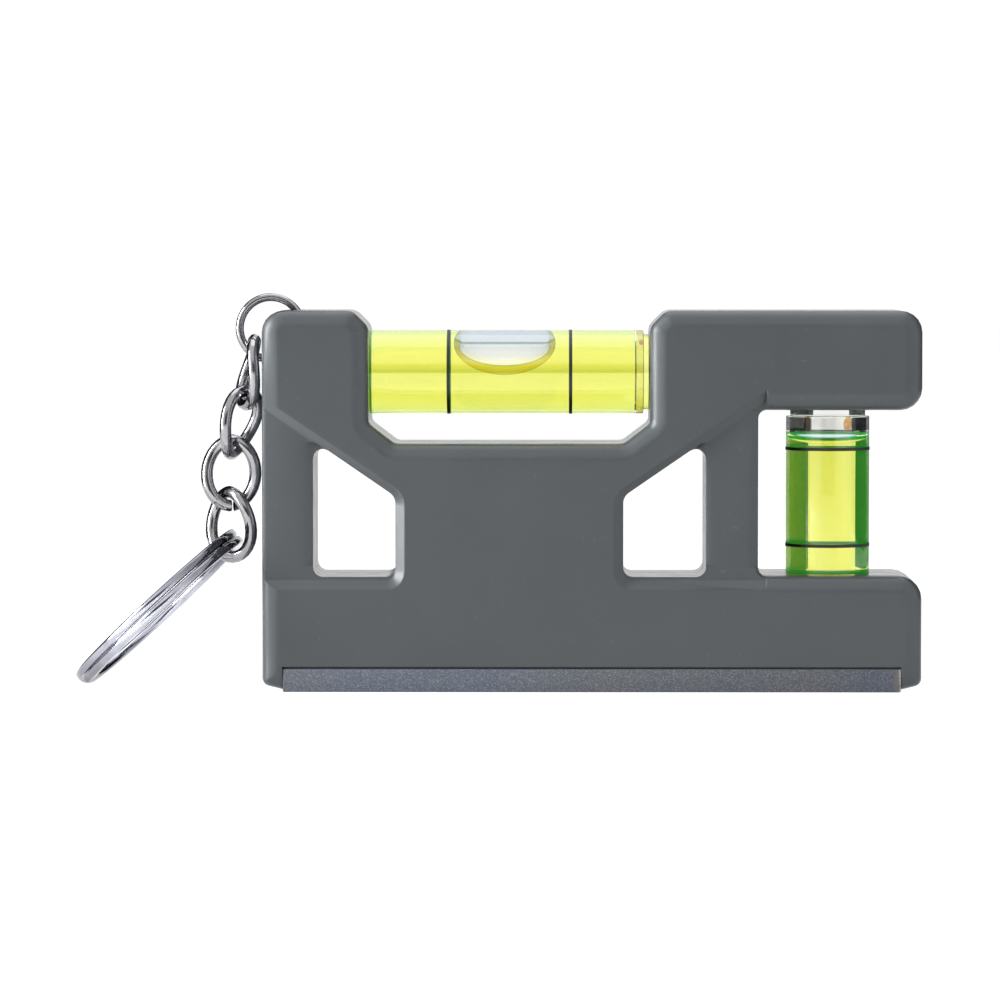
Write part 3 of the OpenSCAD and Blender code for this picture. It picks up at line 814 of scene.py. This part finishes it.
# The link whose wire ends don't quite meet, and the slit's middle, turn and size
OPEN_LINK = "chain_link_3"
SLIT_AT = Vector((-39.58, 0.1, 19.7)) * MM
SLIT_TURN = math.radians(16)
SLIT_SIZE = Vector((0.36, 3, 2.2)) * MM
# Heights on the key ring where its plating is painted darkest, a painted dark reflection
RING_PAINTED_REFLECTION_SPAN = (0.6 * MM, 16.5 * MM)


class LEVEL_OT_chain(bpy.types.Operator):
    """Jump ring and the four curb links"""

    bl_idname = "level.chain"
    bl_label = "Chain"

    def open_joint(self, link):
        """A slit where the two ends of the bent wire don't quite meet."""
        deselect()
        bpy.ops.mesh.primitive_cube_add(size=1, location=SLIT_AT, rotation=(0, 0, SLIT_TURN))
        blade = bpy.context.object
        blade.scale = SLIT_SIZE
        apply_place(blade)
        slit = link.modifiers.new("Open joint", "BOOLEAN")
        slit.operation = "DIFFERENCE"
        slit.solver = "EXACT"
        slit.object = blade
        make_active(link)
        bpy.ops.object.modifier_apply(modifier=slit.name)
        bpy.data.objects.remove(blade, do_unlink=True)
        outward(link)
        smooth(link, 60)

    def execute(self, context):
        look = context.scene.metal_look
        nickel = plated_finish("worn nickel plate", tuple(look.nickel), look.wear, 2600)
        for node, body in CHAIN:
            piece = refined_copy(node, node + "_plated", 60)
            if node == OPEN_LINK:
                self.open_joint(piece)
            finish_piece(piece, body, [node], nickel)
        return {"FINISHED"}


class LEVEL_OT_key_ring(bpy.types.Operator):
    """Split ring of two flat coils"""

    bl_idname = "level.key_ring"
    bl_label = "Key ring"

    def execute(self, context):
        look = context.scene.metal_look
        # The ring's plating is painted darker towards both its ends: a painted dark reflection.
        steel = plated_finish("plated spring steel", tuple(look.ring), look.wear * 0.7, 1800, RING_PAINTED_REFLECTION_SPAN)
        piece = refined_copy("split_ring", "split_ring_plated", 50)
        finish_piece(piece, "key_ring", ["split_ring"], steel)
        return {"FINISHED"}


# Camera, in metres, with a lens in mm for a 36 mm sensor
CAMERA_AT = Vector((-0.0043, -0.5875, 0.0482))
CAMERA_AIM = Vector((-0.0100, -0.0075, 0.0210))
CAMERA_LENS = 192
# Lamps: name, the property that holds the power, size, place, aim, and whether metal mirrors it
LAMPS = (
    ("key softbox", "key_power", (0.7, 0.5), (0.1, -0.75, 0.45), (0, 0, 0.02), False),
    ("top softbox", "top_power", (0.6, 0.6), (0, 0.1, 0.7), (0, 0, 0), True),
    ("left softbox", "side_power", (0.4, 0.5), (-0.6, -0.3, 0.3), (0, 0, 0.02), False),
    ("left strip", "strip_power", (0.25, 0.5), (-0.55, -0.085, 0.12), (0, 0, 0.02), True),
    ("right softbox", "right_power", (0.4, 0.5), (0.62, -0.18, 0.26), (0, 0, 0.02), False))
# Flags: name, and the two points of the floor between which the flag stands
FLAGS = (
    ("right flag", (0.084, 0.19, 0), (0.32, -0.05, 0)),
    ("left flag", (-0.043, 0.19, 0), (-0.32, -0.05, 0)))
FLAG_HEIGHT = 0.25
FLAG_ABOVE_FLOOR = 0.5 * MM
# Floor: how bright it glows, how much brighter for the camera, how much of the glow counts, and how
# far in front of the level its glow ends for everything but the camera
FLOOR_GLOW = 1.06
FLOOR_GLOW_CAMERA = 0.14
FLOOR_SHARE = 0.8
FLOOR_GLOW_FRONT = -0.02
# Strength of the surroundings, as metal and glass see them and as they light the rest
MIRRORED_WORLD = 1.1
LIT_WORLD = 0.38
FLAG_GREY = (0.03, 0.03, 0.035)


class LEVEL_OT_studio(bpy.types.Operator):
    """White floor and surroundings, soft lamps and the camera"""

    bl_idname = "level.studio"
    bl_label = "Studio"

    def seen_directly(self, tree):
        """1 for rays that come from the camera, off metal or through glass."""
        path = add(tree, "ShaderNodeLightPath")
        total = path.outputs["Is Camera Ray"]
        for name in ("Is Glossy Ray", "Is Transmission Ray"):
            total = reckon(tree, "MAXIMUM", total, path.outputs[name])
        return total

    def floor(self, look):
        """White floor. Behind the level's front it also glows for what sees it directly."""
        deselect()
        bpy.ops.mesh.primitive_plane_add(size=1, location=(0, 1.3, 0))
        floor = bpy.context.object
        floor.name = "floor"
        floor.scale = (look.floor_width, 4, 1)
        apply_place(floor)
        paint, tree, skin = finish_nodes("white floor")
        skin.inputs["Base Color"].default_value = (0.9, 0.9, 0.9, 1)
        skin.inputs["Roughness"].default_value = 0.9
        skin.inputs["Specular IOR Level"].default_value = 0.0
        link = tree.links.new
        by_camera = add(tree, "ShaderNodeLightPath").outputs["Is Camera Ray"]
        white = add(tree, "ShaderNodeEmission")
        glow = reckon(tree, "MULTIPLY_ADD", by_camera, FLOOR_GLOW_CAMERA, FLOOR_GLOW)
        link(glow, white.inputs["Strength"])
        behind = reckon(tree, "GREATER_THAN", coordinate(tree, "Y"), FLOOR_GLOW_FRONT)
        matters = reckon(tree, "MAXIMUM", by_camera, behind)
        kept = reckon(tree, "MULTIPLY", self.seen_directly(tree), matters)
        blend = add(tree, "ShaderNodeMixShader")
        link(reckon(tree, "MULTIPLY", kept, FLOOR_SHARE), blend.inputs["Fac"])
        link(skin.outputs["BSDF"], blend.inputs[1])
        link(white.outputs["Emission"], blend.inputs[2])
        link(blend.outputs["Shader"], tree.nodes["Material Output"].inputs["Surface"])
        floor.data.materials.append(paint)

    def surroundings(self, scene):
        """White for the camera; glossy and clear pieces see dark flags behind and a dark gap in front."""
        world = bpy.data.worlds.new("studio")
        scene.world = world
        world.use_nodes = True
        tree = world.node_tree
        link = tree.links.new
        for node in list(tree.nodes):
            if node.type != "OUTPUT_WORLD":
                tree.nodes.remove(node)
        aside = reckon(tree, "ABSOLUTE", coordinate(tree, "X", "Generated"))
        behind = ramp(tree, aside, [(0.34, WHITE), (0.40, FLAG_GREY), (0.94, FLAG_GREY), (0.97, WHITE)])
        before = ramp(tree, aside, [(0.30, (0.1, 0.1, 0.11)), (0.46, WHITE)])
        half = reckon(tree, "GREATER_THAN", coordinate(tree, "Y", "Generated"), 0.0)
        flags = mixed(tree, half, before.outputs["Color"], behind.outputs["Color"])
        upright = reckon(tree, "ABSOLUTE", coordinate(tree, "Z", "Generated"))
        above = ramp(tree, upright, [(0.3, BLACK), (0.5, WHITE)])
        sight = mixed(tree, 1.0, flags, above.outputs["Color"], "LIGHTEN")
        by_camera = add(tree, "ShaderNodeLightPath").outputs["Is Camera Ray"]
        mirrored = add(tree, "ShaderNodeBackground", Strength=MIRRORED_WORLD)
        link(mixed(tree, by_camera, sight, WHITE), mirrored.inputs["Color"])
        lit = add(tree, "ShaderNodeBackground", Strength=LIT_WORLD)
        blend = add(tree, "ShaderNodeMixShader")
        link(self.seen_directly(tree), blend.inputs["Fac"])
        link(lit.outputs["Background"], blend.inputs[1])
        link(mirrored.outputs["Background"], blend.inputs[2])
        out = next(n for n in tree.nodes if n.type == "OUTPUT_WORLD")
        link(blend.outputs["Shader"], out.inputs["Surface"])

    def flag(self, name, near, far):
        """An upright dark flag between two points of the floor, seen only in metal and glass."""
        middle = (Vector(near) + Vector(far)) / 2
        along = Vector(far) - Vector(near)
        deselect()
        bpy.ops.mesh.primitive_plane_add(
            size=1, location=(middle.x, middle.y, FLAG_HEIGHT / 2 + FLAG_ABOVE_FLOOR),
            rotation=(math.radians(90), 0, math.atan2(along.y, along.x)))
        flag = bpy.context.object
        flag.name = name
        flag.scale = (along.length, FLAG_HEIGHT, 1)
        apply_place(flag)
        flag.visible_camera = False
        flag.visible_diffuse = False
        flag.visible_shadow = False
        paint, _, skin = finish_nodes(name + " cloth")
        skin.inputs["Base Color"].default_value = (0.012, 0.012, 0.014, 1)
        skin.inputs["Roughness"].default_value = 1.0
        skin.inputs["Specular IOR Level"].default_value = 0.0
        flag.data.materials.append(paint)

    def lamp(self, name, power, size, at, aim, glossy):
        """A rectangular softbox that neither the camera nor clear pieces see."""
        light = bpy.data.lights.new(name, "AREA")
        light.energy = power
        light.shape = "RECTANGLE"
        light.size, light.size_y = size
        lamp = bpy.data.objects.new(name, light)
        lamp.location = at
        lamp.rotation_euler = (Vector(aim) - Vector(at)).to_track_quat("-Z", "Y").to_euler()
        lamp.visible_camera = False
        lamp.visible_glossy = glossy
        lamp.visible_transmission = False
        bpy.context.scene.collection.objects.link(lamp)

    def camera(self, scene):
        """Camera in front of the level, a little above it."""
        data = bpy.data.cameras.new("camera")
        data.sensor_width = 36
        data.lens = CAMERA_LENS
        data.clip_start, data.clip_end = 0.01, 20
        camera = bpy.data.objects.new("camera", data)
        camera.location = CAMERA_AT
        camera.rotation_mode = "QUATERNION"
        camera.rotation_quaternion = (CAMERA_AIM - CAMERA_AT).to_track_quat("-Z", "Y")
        scene.collection.objects.link(camera)
        scene.camera = camera

    def execute(self, context):
        scene = context.scene
        look = scene.studio_look
        scene.view_settings.view_transform = "Standard"
        self.floor(look)
        self.surroundings(scene)
        for name, power, size, at, aim, glossy in LAMPS:
            self.lamp(name, getattr(look, power), size, at, aim, glossy)
        for name, near, far in FLAGS:
            self.flag(name, near, far)
        self.camera(scene)
        return {"FINISHED"}


class LEVEL_PT_panel(bpy.types.Panel):
    """Lists the pieces of the spirit level and their looks"""

    bl_idname = "LEVEL_PT_panel"
    bl_label = "Spirit level"
    bl_space_type = "VIEW_3D"
    bl_region_type = "UI"
    bl_category = "Spirit level"

    def draw(self, context):
        for name, group in LOOKS.items():
            box = self.layout.box()
            box.label(text=group.__doc__)
            for key in group.__annotations__:
                box.prop(getattr(context.scene, name), key)
        for operator in OPERATORS:
            self.layout.operator(operator.bl_idname)


OPERATORS = (LEVEL_OT_studio, LEVEL_OT_shells, LEVEL_OT_magnet, LEVEL_OT_vials, LEVEL_OT_liquids,
             LEVEL_OT_chain, LEVEL_OT_key_ring)


def register():
    for group in LOOKS.values():
        bpy.utils.register_class(group)
    for name, group in LOOKS.items():
        setattr(bpy.types.Scene, name, bpy.props.PointerProperty(type=group))
    for operator in OPERATORS:
        bpy.utils.register_class(operator)
    bpy.utils.register_class(LEVEL_PT_panel)


def unregister():
    bpy.utils.unregister_class(LEVEL_PT_panel)
    for operator in reversed(OPERATORS):
        bpy.utils.unregister_class(operator)
    for name in LOOKS:
        delattr(bpy.types.Scene, name)
    for group in reversed(list(LOOKS.values())):
        bpy.utils.unregister_class(group)


def main():
    register()
    bpy.ops.level.studio()
    bpy.ops.level.shells()
    bpy.ops.level.magnet()
    bpy.ops.level.vials()
    bpy.ops.level.liquids()
    bpy.ops.level.chain()
    bpy.ops.level.key_ring()


if __name__ == "__main__":
    main()
